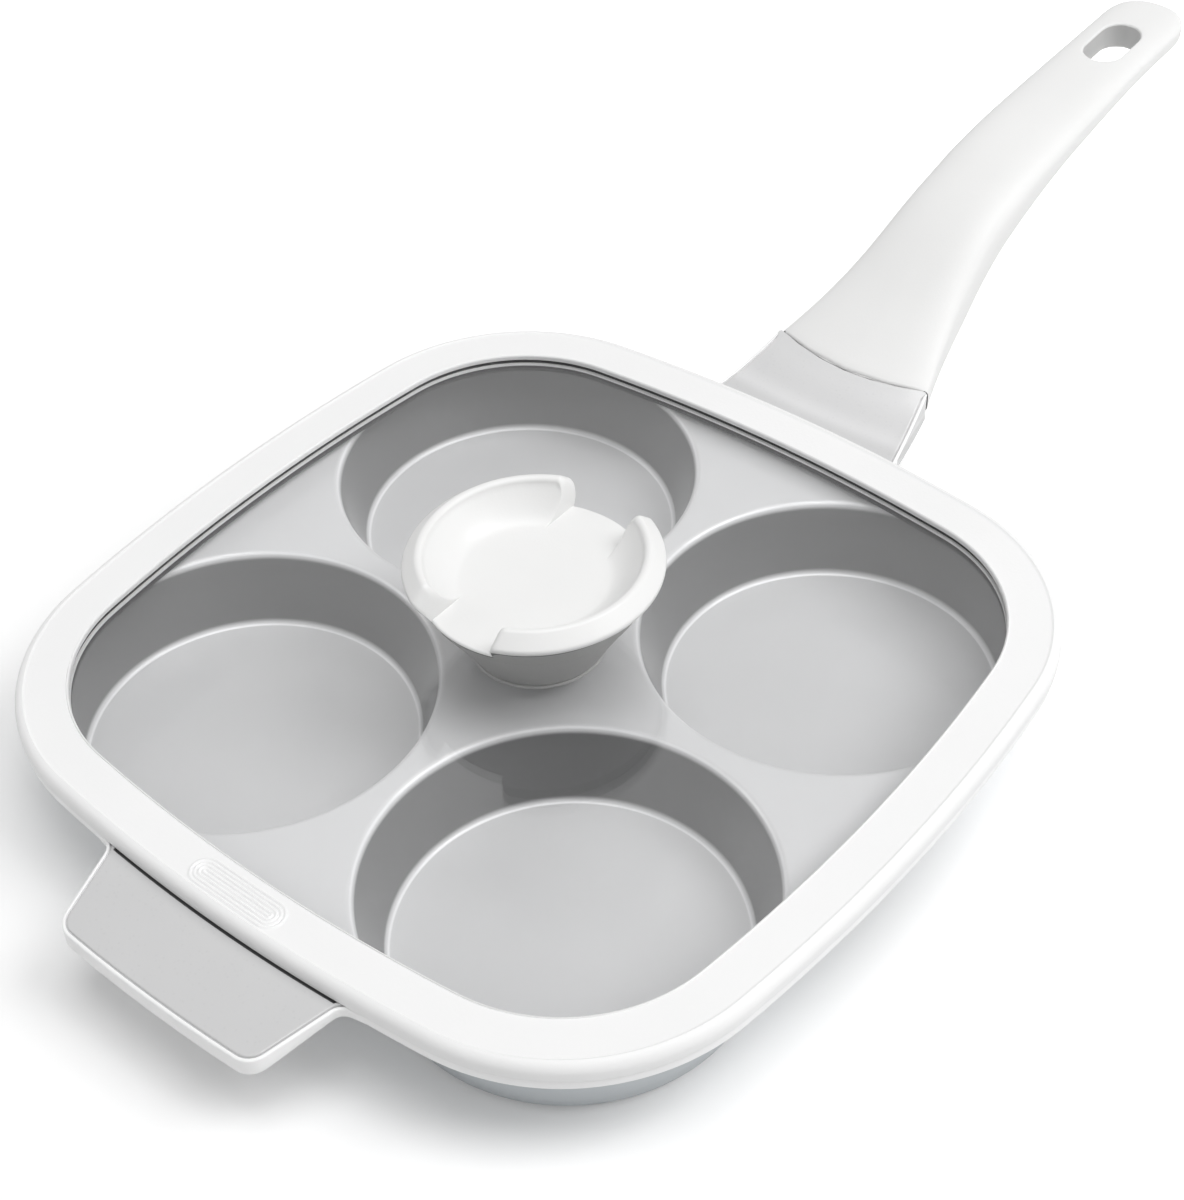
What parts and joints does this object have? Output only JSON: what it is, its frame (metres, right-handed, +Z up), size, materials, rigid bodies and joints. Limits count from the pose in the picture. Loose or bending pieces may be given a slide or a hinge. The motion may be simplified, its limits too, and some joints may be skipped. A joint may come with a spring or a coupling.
{
  "type": "egg pan",
  "caption": "Rounded-square egg pan with recessed round cups, a flat glass lid in a silicone ring, a dish knob, a helper tab and a long curved handle with a hanging hole.",
  "frame": {"origin": "on the table, under the middle of the overall box", "axes": "+Y along the handle to its tip, +Z up, +X to the right with the handle pointing away"},
  "size_m": [0.24, 0.464, 0.0791],
  "materials": {
    "coated_casting": "satin non-stick coating, light grey inside and white outside",
    "base_steel": "turned steel disc",
    "white_grip": "soft matte moulding",
    "white_silicone": "matte silicone",
    "clear_glass": "clear tempered glass",
    "white_knob": "smooth satin moulding",
    "grey_stem": "satin moulding",
    "grey_silicone": "matte silicone",
    "insert_brass": "turned brass",
    "screw_steel": "bright steel"
  },
  "bodies": {
    "pan": {"pan_casting": "coated_casting", "base_disc_1": "base_steel", "base_disc_2": "base_steel", "base_disc_3": "base_steel", "base_disc_4": "base_steel", "handle_grip": "white_grip", "handle_screw_1": "screw_steel", "handle_screw_2": "screw_steel", "handle_washer_1": "screw_steel", "handle_washer_2": "screw_steel"},
    "lid": {"lid_rim": "white_silicone", "lid_glass": "clear_glass", "knob_dish": "white_knob", "knob_stem": "grey_stem", "knob_insert": "insert_brass", "knob_seat_ring": "grey_silicone", "knob_under_ring": "grey_silicone", "knob_washer": "screw_steel", "knob_screw": "screw_steel"}
  },
  "joints": [
    {"name": "lid_lift", "type": "slide", "parent": "pan", "child": "lid", "axis": [0, 0, 1], "range_m": [0, 0.12]}
  ]
}
